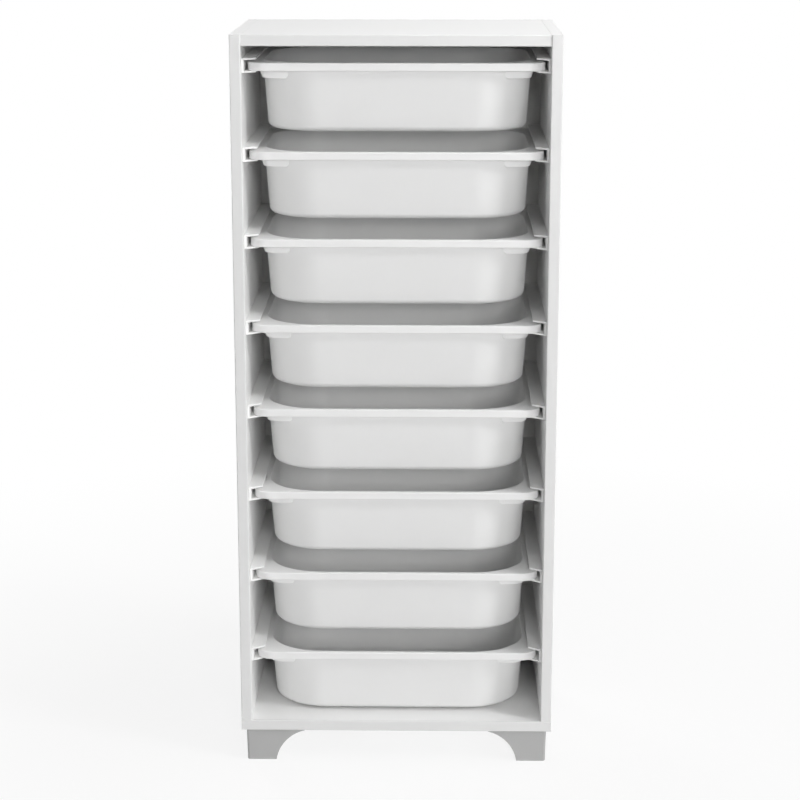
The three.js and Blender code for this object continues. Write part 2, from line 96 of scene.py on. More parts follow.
class TraySizes(bpy.types.PropertyGroup):
    """Moulded tray: thin drafted walls under a broad rim."""

    wall: length("Wall", "Thickness of walls, floor and rim", 2.2)
    rim_corner: length("Rim corner", "Outer corner radius of the rim", 25.0)
    rim_rounding: length("Rim rounding", "Rounding of the rim's upper edges", 1.4)
    skirt: length("Skirt", "Height of the turned-down skirt", 11.5)
    side_land: length("Side land", "Rim width at the sides", 19.5)
    front_land: length("Front land", "Rim width at the front and rear", 7.3)
    opening_corner: length("Opening corner", "Corner radius of the opening", 78.0)
    side_taper: length("Side taper", "How far a side wall leans in over its height", 5.5)
    front_taper: length("Front taper", "How far the front and rear walls lean in", 21.0)
    floor_fillet: length("Floor fillet", "Rounding between walls and floor", 8.0)
    shoulder_top: length("Shoulder top", "How far the corner shoulders' sides stand out under the rim", 5.0)
    shoulder_foot: length("Shoulder foot", "How far the shoulders' sides stand out at their lower edge", 0.0)
    shoulder_front: length("Shoulder front", "How far a shoulder's front stands out where it starts", 1.0)
    shoulder_depth: length("Shoulder depth", "Lower edge of the shoulders below the rim", 24.0)
    shoulder_start: angle("Shoulder start", "Angle round the corner where a shoulder starts", 31.5)
    shoulder_rounding: length("Shoulder rounding", "Rounding of a shoulder's lower corner at its start", 5.0)


class RunnerSizes(bpy.types.PropertyGroup):
    """Plastic channel on the side panel."""

    web: length("Web", "Thickness of the web on the panel", 3.0)
    flange: length("Flange", "Thickness of the two flanges", 2.5)
    reach: length("Reach", "Reach of the flanges from the panel", 19.5)
    chamfer: length("Slant", "How far the flanges' tips stand behind the web at the front", 13.0)
    stop: length("Stop", "Thickness of the stop at the rear end", 2.0)
    peg: length("Peg", "Diameter of the pegs in the panel", 5.0)
    peg_row: length("Peg row", "First peg behind the cabinet's front", 37.0)
    peg_spacing: length("Peg spacing", "Distance between the two pegs", 256.0)
    rounding: length("Rounding", "Rounding of the channel's edges", 0.4)


class FootSizes(bpy.types.PropertyGroup):
    """Moulded corner foot with a hollow arc under each wing."""

    sole: length("Sole", "Length of a wing on the floor", 45.0)
    arc: length("Arc", "Radius of the hollow arc", 58.0)
    tip: length("Tip", "Blunt height of a wing's tip", 2.0)
    wing: length("Wing", "Depth of a wing", 30.0)
    draft: length("Draft", "How far the outer faces lean in at the floor", 1.2)
    corner: length("Corner", "Rounding of the outer corner", 4.0)
    rounding: length("Rounding", "Rounding of the other edges", 0.8)
    screw_reach: length("Screw reach", "Screw's distance from the outer corner", 71.0)
    screw_bore: length("Screw bore", "Diameter of the bore for a screw's head", 10.0)
    flange: length("Flange", "Thickness left under the panel at a screw", 7.0)


class FittingSizes(bpy.types.PropertyGroup):
    """Cam locks and screws that show under the boards."""

    chamfer: length("Chamfer", "Chamfer on turned edges", 0.5)
    recess: length("Recess", "Width of the slot or cross for a driver", 1.8)
    recess_depth: length("Recess depth", "Depth of the slot or cross for a driver", 1.6)


class Colours(bpy.types.PropertyGroup):
    """Base colours, linear."""

    laminate: colour("Laminate", "White board faces", (0.87, 0.87, 0.867))
    band: colour("Edge band", "White plastic edging of the boards", (0.78, 0.78, 0.777))
    back: colour("Back board", "Painted face of the thin back board", (0.84, 0.84, 0.83))
    tray: colour("Tray", "White tray plastic", (0.86, 0.86, 0.857))
    runner: colour("Runner", "White runner plastic", (0.86, 0.86, 0.855))
    foot: colour("Foot", "Grey foot plastic", (0.455, 0.455, 0.453))
    steel: colour("Steel", "Zinc-plated steel", (0.60, 0.60, 0.61))
    beech: colour("Beech", "Dowel wood", (0.60, 0.42, 0.24))
    floor: colour("Floor", "Pale studio floor", (0.86, 0.86, 0.86))


class StageSettings(bpy.types.PropertyGroup):
    """Camera and light."""

    camera_side: length("Camera side", "Camera's distance right of the cabinet's middle", 56.3)
    camera_back: length("Camera back", "Camera's distance in front of the cabinet's middle", 3165.0)
    camera_height: length("Camera height", "Camera's height above the floor", 1311.1)
    camera_pitch: angle("Camera pitch", "Downward tilt of the camera", 13.908)
    camera_yaw: angle("Camera yaw", "Turn of the camera to the left", 0.964)
    lens: FloatProperty(name="Lens", description="Focal length in millimetres", default=95.2, unit="CAMERA")
    sky: factor("Sky", "Strength of the even studio light", 0.08)
    key: power("Key", "Power of the high softbox at the right", 200.0)
    right: power("Right", "Power of the softbox at the front right", 40.0)
    front: power("Front", "Power of the front softbox", 62.0)
    top: power("Top", "Power of the overhead softbox", 27.0)
    rear: power("Rear", "Power of the softbox behind", 52.0)
    glow: factor("Floor glow", "Share of plain white in the floor near the object", 0.85)
    glow_start: length("Glow start", "Distance where the floor starts to turn plain white", 500.0)
    glow_end: length("Glow end", "Distance where the floor is plain white", 1600.0)


class UnitSettings(bpy.types.PropertyGroup):
    """Everything that a user would change."""

    tray: PointerProperty(type=TraySizes)
    runner: PointerProperty(type=RunnerSizes)
    foot: PointerProperty(type=FootSizes)
    fitting: PointerProperty(type=FittingSizes)
    colours: PointerProperty(type=Colours)
    stage: PointerProperty(type=StageSettings)


class Wire:
    """A shader value that takes part in plain arithmetic: each step adds a Math node."""

    def __init__(self, finish, socket):
        self.finish = finish
        self.socket = socket

    def step(self, operation, first, second):
        """Adds one Math node."""
        return self.finish.node("ShaderNodeMath", {"operation": operation}, {0: first, 1: second})

    def __add__(self, other):
        return self.step("ADD", self, other)

    def __radd__(self, other):
        return self.step("ADD", other, self)

    def __sub__(self, other):
        return self.step("SUBTRACT", self, other)

    def __rsub__(self, other):
        return self.step("SUBTRACT", other, self)

    def __mul__(self, other):
        return self.step("MULTIPLY", self, other)

    def __rmul__(self, other):
        return self.step("MULTIPLY", other, self)

    def below(self, other):
        """1 where this value is the smaller one, and otherwise 0."""
        return self.step("LESS_THAN", self, other)

    def most(self, other):
        """The larger of two values."""
        return self.step("MAXIMUM", self, other)


class Finish:
    """A procedural material under construction."""

    def __init__(self, name):
        self.material = bpy.data.materials.new(name)
        self.material.use_nodes = True
        self.tree = self.material.node_tree
        self.shader = self.tree.nodes["Principled BSDF"]

    def node(self, kind, settings=None, inputs=None, output=0):
        """Adds a node, sets it up, fills its sockets, and gives back one of its outputs."""
        made = self.tree.nodes.new(kind)
        for key, value in (settings or {}).items():
            setattr(made, key, value)
        for key, value in (inputs or {}).items():
            self.fill(made.inputs[key], value)
        return Wire(self, made.outputs[output])

    def fill(self, socket, value):
        """Links a shader value to a socket, or sets the socket to a constant."""
        if isinstance(value, Wire):
            self.tree.links.new(value.socket, socket)
        else:
            socket.default_value = value

    def set(self, **inputs):
        """Fills the main shader's sockets, named with underscores for spaces."""
        for key, value in inputs.items():
            self.fill(self.shader.inputs[key.replace("_", " ")], value)

    def place(self):
        """Position in the object's own frame."""
        return self.node("ShaderNodeTexCoord", output="Object")

    def noise(self, scale, detail=2.0, stretch=None):
        """Soft noise between 0 and 1, stretched along the axes if asked for."""
        spot = self.place()
        if stretch:
            spot = self.node("ShaderNodeMapping", {}, {"Vector": spot, "Scale": stretch})
        return self.node("ShaderNodeTexNoise", {}, {"Vector": spot, "Scale": scale, "Detail": detail})

    def blend(self, share, first, second):
        """A colour between two others."""
        return self.node("ShaderNodeMix", {"data_type": "RGBA"}, {0: share, 6: first, 7: second}, output=2)

    def bump(self, height, distance, strength):
        """Gives the surface a fine relief."""
        inputs = {"Height": height, "Distance": distance, "Strength": strength}
        self.set(Normal=self.node("ShaderNodeBump", {}, inputs))


def rgba(values, gain=1.0):
    """A colour socket's value, a little lighter or darker."""
    return [min(1.0, v * gain) for v in values] + [1.0]


def colours():
    """The scene's colour settings."""
    return bpy.context.scene.tray_unit.colours


def laminate_finish():
    """White melamine board: faint orange peel, and a smoother plastic band along the front edge."""
    finish = Finish("white_laminate")
    c = colours()
    peel = finish.noise(850.0, 2.0)
    cloud = finish.noise(9.0, 3.0)
    depth = finish.node("ShaderNodeSeparateXYZ", {}, {0: finish.place()}, output="Y")
    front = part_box("left_side_panel")[0][1]
    band_depth = 1.8 * MM
    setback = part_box("top_panel")[0][1] - front
    band = depth.below(front + setback + band_depth)
    face = finish.blend(cloud, rgba(c.laminate, 0.985), rgba(c.laminate, 1.01))
    finish.set(Base_Color=finish.blend(band, face, rgba(c.band)))
    finish.set(Roughness=0.40 + 0.12 * cloud - 0.08 * band)
    finish.bump(peel * (1.0 - 0.6 * band), 0.05 * MM, 0.35)
    return finish.material


def back_finish():
    """Thin painted hardboard: flatter and a little rougher than the laminate."""
    finish = Finish("back_board_paint")
    fibre = finish.noise(420.0, 3.0, (1.0, 1.0, 0.35))
    cloud = finish.noise(6.0, 3.0)
    finish.set(Base_Color=finish.blend(cloud, rgba(colours().back, 0.97), rgba(colours().back, 1.02)))
    finish.set(Roughness=0.58 + 0.12 * cloud)
    finish.bump(fibre, 0.08 * MM, 0.4)
    return finish.material


def moulded_finish(name, tint, roughness, grain):
    """Injection-moulded plastic: fine spark-eroded grain and slow drifts of gloss."""
    finish = Finish(name)
    grain_depth = 0.03 * MM
    cloud = finish.noise(11.0, 3.0)
    fine = finish.noise(grain, 2.0)
    finish.set(Base_Color=finish.blend(cloud, rgba(tint, 0.98), rgba(tint, 1.015)))
    finish.set(Roughness=roughness + 0.10 * (cloud - 0.5) + 0.06 * (fine - 0.5))
    finish.bump(fine, grain_depth, 0.4)
    return finish.material


def foot_finish():
    """Grey moulded plastic with a coarser grain, rubbed paler close to the floor."""
    finish = Finish("grey_foot_plastic")
    tint = colours().foot
    grain = finish.noise(1100.0, 3.0)
    cloud = finish.noise(26.0, 4.0)
    height = finish.node("ShaderNodeSeparateXYZ", {}, {0: finish.place()}, output="Z")
    rub_height = 6 * MM
    rub = finish.node("ShaderNodeMapRange", {}, {0: height, 1: 0.0, 2: rub_height, 3: 1.0, 4: 0.0})
    scuff = rub * cloud
    base = finish.blend(grain, rgba(tint, 0.94), rgba(tint, 1.06))
    finish.set(Base_Color=finish.blend(scuff * 0.5, base, rgba(tint, 1.3)))
    finish.set(Roughness=0.50 + 0.16 * cloud)
    finish.bump(grain, 0.06 * MM, 0.5)
    return finish.material


def steel_finish():
    """Zinc-plated steel with fine turning marks."""
    finish = Finish("zinc_plated_steel")
    turning = finish.noise(300.0, 2.0, (1.0, 1.0, 8.0))
    cloud = finish.noise(160.0, 3.0)
    finish.set(Base_Color=finish.blend(cloud, rgba(colours().steel, 0.9), rgba(colours().steel, 1.1)))
    finish.set(Metallic=1.0)
    finish.set(Roughness=0.28 + 0.14 * cloud)
    finish.bump(turning, 0.03 * MM, 0.3)
    return finish.material


def beech_finish():
    """Beech dowel with grain along its length."""
    finish = Finish("beech_dowel")
    grain = finish.noise(900.0, 4.0, (0.08, 1.0, 1.0))
    finish.set(Base_Color=finish.blend(grain, rgba(colours().beech, 0.78), rgba(colours().beech, 1.15)))
    finish.set(Roughness=0.62 + 0.12 * grain)
    finish.bump(grain, 0.08 * MM, 0.4)
    return finish.material


def dress(node_name, material):
    """Gives a frame node its finish."""
    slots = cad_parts[node_name].material_slots
    for slot in slots:
        slot.material = material


def add_piece(name, mesh, material, body, node_name):
    """Puts a mesh into the scene as the shown form of a frame node."""
    mesh.materials.clear()
    mesh.materials.append(material)
    piece = bpy.data.objects.new(name, mesh)
    bpy.context.scene.collection.objects.link(piece)
    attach(piece, body)
    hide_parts(node_name)
    return piece


def mesh_of(name, shape):
    """A mesh from a bmesh, with smooth faces, sharp where faces meet at more than a fillet's step."""
    crease = math.radians(40)
    bmesh.ops.recalc_face_normals(shape, faces=shape.faces)
    for face in shape.faces:
        face.smooth = True
    for edge in shape.edges:
        edge.smooth = edge.calc_face_angle(0.0) < crease
    mesh = bpy.data.meshes.new(name)
    shape.to_mesh(mesh)
    shape.free()
    return mesh


def even_shading(piece):
    """Keeps large flat faces flat beside their fillets."""
    modifier = piece.modifiers.new("even_shading", "WEIGHTED_NORMAL")
    modifier.keep_sharp = True


def skin(rings):
    """A closed body through a run of outlines, with a flat cap at each end."""
    shape = bmesh.new()
    rows = [[shape.verts.new(point) for point in ring] for ring in rings]
    count = len(rows[0])
    for lower, upper in zip(rows, rows[1:]):
        for j in range(count):
            k = (j + 1) % count
            shape.faces.new((lower[j], lower[k], upper[k], upper[j]))
    shape.faces.new(rows[0])
    shape.faces.new(list(reversed(rows[-1])))
    return shape


def arc(centre, radius, start, end, steps):
    """Points of an arc in a section, angles in degrees."""
    turns = [math.radians(start + (end - start) * i / steps) for i in range(steps + 1)]
    return [(centre[0] + radius * math.cos(t), centre[1] + radius * math.sin(t)) for t in turns]


class TrayForm:
    """Section by section form of a tray, about its middle, with the rim's top at height 0."""

    CORNER_STEPS = 20
    FILLET_STEPS = 6
    EDGE_STEPS = 4
    SQUARENESS = 9
    SHOULDER_EASE = (0.0, 0.12, 0.5, 0.88, 1.0)
    SHOULDER_SPREAD = math.radians(1.0)
    START_STEPS = 12
    SHOULDER_LEDGE = 1.6 * MM
    OPENING_EDGE_SHARE = 0.7

    def __init__(self, sizes, box):
        self.s = sizes
        low, high = box
        self.half_x = (high[0] - low[0]) / 2
        self.half_y = (high[1] - low[1]) / 2
        self.height = high[2] - low[2]
        self.open_x = self.half_x - sizes.side_land
        self.open_y = self.half_y - sizes.front_land
        self.angles = self.corner_angles()

    def corner_angles(self):
        """Even steps from the front face to the side, closer where a shoulder starts."""
        start = self.s.shoulder_start - self.SHOULDER_SPREAD
        end = start + 2 * self.SHOULDER_SPREAD + self.s.shoulder_rounding / self.s.opening_corner
        even = [math.pi / 2 * i / self.CORNER_STEPS for i in range(self.CORNER_STEPS + 1)]
        margin = self.SHOULDER_SPREAD / 2
        clear = [turn for turn in even if turn < start - margin or turn > end + margin]
        steps = self.START_STEPS
        return sorted(clear + [start + (end - start) * i / steps for i in range(steps + 1)])

    def proud(self, turn):
        """How much of a shoulder stands out at an angle round the corner."""
        share = (turn - self.s.shoulder_start + self.SHOULDER_SPREAD) / self.SHOULDER_SPREAD
        share = min(1.0, max(0.0, share))
        return share * share * (3.0 - 2.0 * share)

    def lift(self, turn):
        """How far the lower edge of a shoulder is rounded up at an angle round the corner."""
        rounding = self.s.shoulder_rounding
        away = (turn - self.s.shoulder_start) * self.s.opening_corner / rounding
        short = 1.0 - min(1.0, max(0.0, away))
        return rounding * (1.0 - math.sqrt(1.0 - short * short))

    def shoulder_reach(self, turn, radius, side):
        """Reach of a shoulder from the corner's centre: squarer than the wall, with a flat front."""
        front = radius * math.cos(self.s.shoulder_start) + self.s.shoulder_front
        across = (math.sin(turn) / (radius + side)) ** self.SQUARENESS
        along = (math.cos(turn) / front) ** self.SQUARENESS
        return (across + along) ** (-1 / self.SQUARENESS)

    def around(self, point):
        """Plan outline from a function that gives one corner's points, counter-clockwise from above."""
        ring = []
        for across, along in ((1, -1), (1, 1), (-1, 1), (-1, -1)):
            corner = [(across * x, along * y, z) for x, y, z in map(point, self.angles)]
            ring += corner[::-1] if across * along > 0 else corner
        return ring

    def wall_ring(self, outward, height, side=0.0, share=0.0, rounded=False):
        """Outline of a wall at one height, with a share of its shoulders."""
        radius = self.s.opening_corner + outward

        def point(turn):
            z = height + self.lift(turn) if rounded else height
            drop = -z / self.height
            half_x = self.open_x + outward - self.s.side_taper * drop
            half_y = self.open_y + outward - self.s.front_taper * drop
            reach = radius
            if share:
                reach += share * self.proud(turn) * (self.shoulder_reach(turn, radius, side) - radius)
            return half_x - radius + reach * math.sin(turn), half_y - radius + reach * math.cos(turn), z

        return self.around(point)

    def rim_ring(self, inset, height):
        """Outline of the rim, drawn in by an inset."""
        radius = self.s.rim_corner - inset
        middle_x = self.half_x - self.s.rim_corner
        middle_y = self.half_y - self.s.rim_corner

        def point(turn):
            return middle_x + radius * math.sin(turn), middle_y + radius * math.cos(turn), height

        return self.around(point)

    def inside(self):
        """Floor, fillet, inner wall and the rounded edge of the opening."""
        fillet = self.s.floor_fillet
        edge = self.s.rim_rounding * self.OPENING_EDGE_SHARE
        floor = -self.height + self.s.wall
        section = arc((-fillet, floor + fillet), fillet, -90, 0, self.FILLET_STEPS)
        section += arc((edge, -edge), edge, 180, 90, self.EDGE_STEPS)
        return [self.wall_ring(outward, height) for outward, height in section]

    def rim(self):
        """Outer edge of the rim, the skirt's two faces and the underside of the rim."""
        edge = self.s.rim_rounding
        lip = self.s.wall / 2
        skirt = -self.s.skirt
        section = [(-o, z) for o, z in arc((-edge, -edge), edge, 90, 0, self.EDGE_STEPS)]
        section += [(-o, z) for o, z in arc((-lip, skirt + lip), lip, 0, -180, 2 * self.EDGE_STEPS)]
        section.append((self.s.wall, -self.s.wall))
        return [self.rim_ring(inset, height) for inset, height in section]

    def outside(self):
        """Outer wall with its shoulders, the lower fillet and the underside."""
        wall = self.s.wall
        fillet = self.s.floor_fillet
        ledge = self.SHOULDER_LEDGE
        rings = [self.wall_ring(wall, -wall, self.s.shoulder_top, 1.0)]
        last = len(self.SHOULDER_EASE) - 1
        for i, share in enumerate(reversed(self.SHOULDER_EASE)):
            height = -self.s.shoulder_depth + ledge / 2 - ledge * i / last
            rings.append(self.wall_ring(wall, height, self.s.shoulder_foot, share, rounded=True))
        section = arc((wall - fillet, -self.height + fillet), fillet, 0, -90, self.FILLET_STEPS)
        return rings + [self.wall_ring(outward, height) for outward, height in section]

    def shape(self):
        """The whole tray as one closed skin."""
        return skin(self.inside() + self.rim() + self.outside())


def block(shape, low, high):
    """Adds a box between two corners and gives back its vertices."""
    centre = (Vector(low) + Vector(high)) / 2
    size = Vector(high) - Vector(low)
    matrix = Matrix.Translation(centre) @ Matrix.Diagonal(size.to_4d())
    return bmesh.ops.create_cube(shape, size=1.0, matrix=matrix)["verts"]


def add_rod(shape, radius, span, facets, matrix):
    """Adds a round rod with capped ends."""
    bmesh.ops.create_cone(shape, cap_ends=True, segments=facets, radius1=radius, radius2=radius, depth=span,
                          matrix=matrix)


def round_edges(shape, width, segments=2, edges=None):
    """Rounds the edges where faces meet at a sharp angle."""
    sharp = math.radians(30)
    chosen = edges or [e for e in shape.edges if e.calc_face_angle(0.0) > sharp]
    bmesh.ops.bevel(shape, geom=chosen, offset=width, segments=segments, profile=0.5, affect="EDGES",
                    clamp_overlap=True)


def extruded(section, place):
    """A closed body from an outline, drawn out between the places that it has at end 0 and at end 1."""
    shape = bmesh.new()
    near = [shape.verts.new(place(u, v, 0)) for u, v in section]
    far = [shape.verts.new(place(u, v, 1)) for u, v in section]
    count = len(section)
    for j in range(count):
        k = (j + 1) % count
        shape.faces.new((near[j], near[k], far[k], far[j]))
    shape.faces.new(near)
    shape.faces.new(far)
    return shape


def runner_mesh(sizes, box, side):
    """Channel open to the tray: slanted front, rounded edges, a stop at the rear and two pegs."""
    low, high = box
    panel = side * abs(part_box("left_side_panel")[1][0])
    web, flange = sizes.web, sizes.flange
    depth = high[2] - low[2]
    section = [(0, 0), (sizes.reach, 0), (sizes.reach, flange), (web, flange), (web, depth - flange),
               (sizes.reach, depth - flange), (sizes.reach, depth), (0, depth)]

    def place(u, v, end):
        slant = sizes.chamfer * max(0.0, u - web) / (sizes.reach - web)
        y = high[1] if end else low[1] + slant
        return (panel - side * u, y, low[2] + v)

    shape = extruded(section, place)
    bmesh.ops.recalc_face_normals(shape, faces=shape.faces)
    round_edges(shape, sizes.rounding)
    inset = 0.2 * MM
    stop_x = sorted((panel - side * (web - inset), panel - side * (sizes.reach - inset)))
    block(shape, (stop_x[0], high[1] - sizes.stop, low[2] + flange - inset),
          (stop_x[1], high[1] - inset, high[2] - flange + inset))
    add_pegs(shape, sizes, panel, side, (low[2] + high[2]) / 2)
    return mesh_of("runner", shape)


def add_pegs(shape, sizes, panel, side, height):
    """Two round pegs on the back of a runner's web."""
    peg_length = 9 * MM
    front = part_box("left_side_panel")[0][1]
    turn = Matrix.Rotation(math.pi / 2, 4, "Y")
    for k in range(2):
        y = front + sizes.peg_row + k * sizes.peg_spacing
        centre = Matrix.Translation((panel + side * (peg_length - MM) / 2, y, height))
        add_rod(shape, sizes.peg / 2, peg_length + MM, PEG_FACETS, centre @ turn)


def wing_section(sizes, span, height):
    """Side outline of a foot's wing from the sole's end round the arc to the top."""
    start = Vector((sizes.sole, 0.0))
    end = Vector((span, height - sizes.tip))
    chord = end - start
    drop = math.sqrt(sizes.arc ** 2 - chord.length_squared / 4)
    centre = (start + end) / 2 + Vector((chord.y, -chord.x)).normalized() * drop
    first = math.degrees(math.atan2(start.y - centre.y, start.x - centre.x))
    last = math.degrees(math.atan2(end.y - centre.y, end.x - centre.x))
    return arc(centre, sizes.arc, first, last, WING_ARC_STEPS) + [(span, height)]


def foot_shape(sizes, span, height):
    """Two wings mitred at the corner, x and y running into the cabinet."""
    curve = wing_section(sizes, span, height)
    shape = bmesh.new()

    def ring(inner):
        start = sizes.wing if inner else 0.0
        return [(start, 0.0)] + curve + [(start, height)]

    for swap in (False, True):
        rows = []
        for depth in (0.0, sizes.wing):
            points = [(x, depth, z) for x, z in ring(depth > 0)]
            rows.append([shape.verts.new((y, x, z) if swap else (x, y, z)) for x, y, z in points])
        near, far = rows
        for j in range(len(near) - 1):
            shape.faces.new((near[j], near[j + 1], far[j + 1], far[j]))
        shape.faces.new(near)
        shape.faces.new(far)
    bmesh.ops.remove_doubles(shape, verts=shape.verts, dist=MM / 100)
    bmesh.ops.recalc_face_normals(shape, faces=shape.faces)
    return shape


def round_foot(shape, sizes, height):
    """Rounds the outer corner broadly and the other edges slightly, then drafts the outer faces."""
    on_corner = [e for e in shape.edges if all(v.co.x < MM / 10 and v.co.y < MM / 10 for v in e.verts)]
    round_edges(shape, sizes.corner, FOOT_CORNER_STEPS, on_corner)
    round_edges(shape, sizes.rounding)
    for vertex in shape.verts:
        lean = sizes.draft * (1 - vertex.co.z / height)
        for axis in (0, 1):
            near = max(0.0, 1 - vertex.co[axis] / sizes.wing)
            vertex.co[axis] += lean * near


def carved(mesh, cutter_shape):
    """The mesh with another shape cut out of it."""
    target = bpy.data.objects.new("carve_target", mesh)
    cutter = bpy.data.objects.new("carve_cutter", mesh_of("carve_cutter", cutter_shape))
    for item in (target, cutter):
        bpy.context.scene.collection.objects.link(item)
    modifier = target.modifiers.new("carve", "BOOLEAN")
    modifier.operation = "DIFFERENCE"
    modifier.solver = "EXACT"
    modifier.object = cutter
    graph = bpy.context.evaluated_depsgraph_get()
    result = bpy.data.meshes.new_from_object(target.evaluated_get(graph))
    for item in (target, cutter):
        bpy.data.objects.remove(item)
    return result


def foot_mesh(sizes, box):
    """One foot about its outer corner, with the bores for its screws."""
    low, high = box
    height = high[2] - low[2]
    shape = foot_shape(sizes, high[0] - low[0], height)
    round_foot(shape, sizes, height)
    bores = bmesh.new()
    top = height - sizes.flange
    for x, y in ((sizes.screw_reach, sizes.wing / 2), (sizes.wing / 2, sizes.screw_reach)):
        centre = Matrix.Translation((x, y, top / 2 - MM))
        add_rod(bores, sizes.screw_bore / 2, top + 2 * MM, BORE_FACETS, centre)
    return carved(mesh_of("foot", shape), bores)


def mirrored(mesh, flip_x, flip_y):
    """A mirror image of a mesh with its faces still pointing out."""
    shape = bmesh.new()
    shape.from_mesh(mesh)
    shape.transform(Matrix.Diagonal((-1 if flip_x else 1, -1 if flip_y else 1, 1, 1)))
    if flip_x != flip_y:
        bmesh.ops.reverse_faces(shape, faces=shape.faces)
    copy = bpy.data.meshes.new(mesh.name)
    shape.to_mesh(copy)
    shape.free()
    return copy


def lathe(section):
    """A turned body from [radius, height] steps about the Z axis."""
    shape = bmesh.new()
    steps = LATHE_FACETS
    turns = [2 * math.pi * i / steps for i in range(steps)]
    rings = []
    for radius, height in section:
        rings.append([shape.verts.new((radius * math.cos(t), radius * math.sin(t), height)) for t in turns])
    for lower, upper in zip(rings, rings[1:]):
        for j in range(steps):
            k = (j + 1) % steps
            shape.faces.new((lower[j], lower[k], upper[k], upper[j]))
    shape.faces.new(rings[0])
    shape.faces.new(rings[-1])
    return shape


def head_down_mesh(section, sizes, span, arms):
    """A turned fitting with its driven face down and a slot of one arm, or a cross of two, cut into it."""
    mesh = mesh_of("fitting", lathe(section))
    low = section[0][1]
    half = sizes.recess / 2
    for x, y in ((span / 2, half), (half, span / 2))[:arms]:
        arm = bmesh.new()
        block(arm, (-x, -y, low - MM), (x, y, low + sizes.recess_depth))
        mesh = carved(mesh, arm)
    return mesh


class TRAYUNIT_OT_boards(bpy.types.Operator):
    """Finish the laminated boards and the back board"""

    bl_idname = "tray_unit.boards"
    bl_label = "Boards"

    def execute(self, context):
        laminate = laminate_finish()
        for name in BOARDS:
            dress(name, laminate)
        dress("back_panel", back_finish())
        return {"FINISHED"}


class TRAYUNIT_OT_trays(bpy.types.Operator):
    """Add the moulded trays, each on its own sliding body"""

    bl_idname = "tray_unit.trays"
    bl_label = "Trays"

    def execute(self, context):
        sizes = context.scene.tray_unit.tray
        material = moulded_finish("white_tray_plastic", colours().tray, roughness=0.44, grain=1300.0)
        form = TrayForm(sizes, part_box("tray_1"))
        mesh = mesh_of("tray", form.shape())
        for number in TRAY_NUMBERS:
            node_name = f"tray_{number}"
            low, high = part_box(node_name)
            copy = mesh.copy()
            piece = add_piece(f"moulded_{node_name}", copy, material, node_name, node_name)
            piece.location = ((low[0] + high[0]) / 2, (low[1] + high[1]) / 2, high[2])
            even_shading(piece)
        return {"FINISHED"}


class TRAYUNIT_OT_runners(bpy.types.Operator):
    """Add the channel runners on both side panels"""

    bl_idname = "tray_unit.runners"
    bl_label = "Runners"

    def execute(self, context):
        sizes = context.scene.tray_unit.runner
        material = moulded_finish("white_runner_plastic", colours().runner, roughness=0.42, grain=900.0)
        for side_name, side in SIDES.items():
            for number in TRAY_NUMBERS:
                node_name = f"runner_{side_name}_{number}"
                mesh = runner_mesh(sizes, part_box(node_name), side)
                name = f"channel_{side_name}_{number}"
                piece = add_piece(name, mesh, material, CABINET, node_name)
                even_shading(piece)
        return {"FINISHED"}


class TRAYUNIT_OT_feet(bpy.types.Operator):
    """Add the four moulded corner feet"""

    bl_idname = "tray_unit.feet"
    bl_label = "Feet"

    def execute(self, context):
        sizes = context.scene.tray_unit.foot
        material = foot_finish()
        plain = foot_mesh(sizes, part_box("foot_front_left"))
        for end_name, end in ENDS.items():
            for side_name, side in SIDES.items():
                node_name = f"foot_{end_name}_{side_name}"
                low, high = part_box(node_name)
                mesh = mirrored(plain, side > 0, end > 0)
                piece = add_piece(f"corner_{node_name}", mesh, material, CABINET, node_name)
                piece.location = (low[0] if side < 0 else high[0], low[1] if end < 0 else high[1], low[2])
                even_shading(piece)
        return {"FINISHED"}


class TRAYUNIT_OT_fittings(bpy.types.Operator):
    """Add the cam locks and screws that show, and finish the hidden bolts and dowels"""

    bl_idname = "tray_unit.fittings"
    bl_label = "Fittings"

    def execute(self, context):
        sizes = context.scene.tray_unit.fitting
        steel = steel_finish()
        beech = beech_finish()
        for end_name in ENDS:
            for side_name in SIDES:
                corner = f"{end_name}_{side_name}"
                dress(f"cam_bolt_{corner}", steel)
                dress(f"dowel_{corner}", beech)
                self.add_turned(f"cam_lock_{corner}", sizes, steel, self.cam_section, 1)
                self.add_turned(f"panel_screw_{corner}", sizes, steel, self.panel_screw_section, 2)
                for letter in "ab":
                    screw = f"foot_screw_{corner}_{letter}"
                    self.add_turned(screw, sizes, steel, self.foot_screw_section, 2)
        return {"FINISHED"}

    @staticmethod
    def cam_section(radius, height, chamfer):
        """A plain disc."""
        end = radius - chamfer
        return [(end, 0), (radius, chamfer), (radius, height - chamfer), (end, height)]

    @staticmethod
    def panel_screw_section(radius, height, chamfer):
        """A countersunk head, a neck and a long pointed core."""
        neck = radius * 0.7
        core = radius * 0.5
        neck_top = 15 * MM
        return [(radius - chamfer / 2, 0), (radius, chamfer / 2), (radius, MM), (neck, MM + radius - neck),
                (neck, neck_top), (core, neck_top + chamfer), (core, height - core), (core / 5, height)]

    @staticmethod
    def foot_screw_section(radius, height, chamfer):
        """A domed head on a short pointed shank."""
        shank = radius * 0.5
        head = 3 * MM
        dome = [(radius - 2 * chamfer, 0), (radius - chamfer / 2, chamfer), (radius, 2 * chamfer)]
        return dome + [(radius, head), (shank, head + chamfer / 5), (shank, height - 2 * shank),
                       (shank / 5, height)]

    @staticmethod
    def add_turned(node_name, sizes, material, section, arms):
        """Adds one turned fitting in place of its frame node."""
        low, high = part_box(node_name)
        radius = (high[0] - low[0]) / 2
        recess_span = 1.2 * radius
        section_points = section(radius, high[2] - low[2], sizes.chamfer)
        mesh = head_down_mesh(section_points, sizes, recess_span, arms)
        piece = add_piece(f"turned_{node_name}", mesh, material, CABINET, node_name)
        piece.location = ((low[0] + high[0]) / 2, (low[1] + high[1]) / 2, low[2])


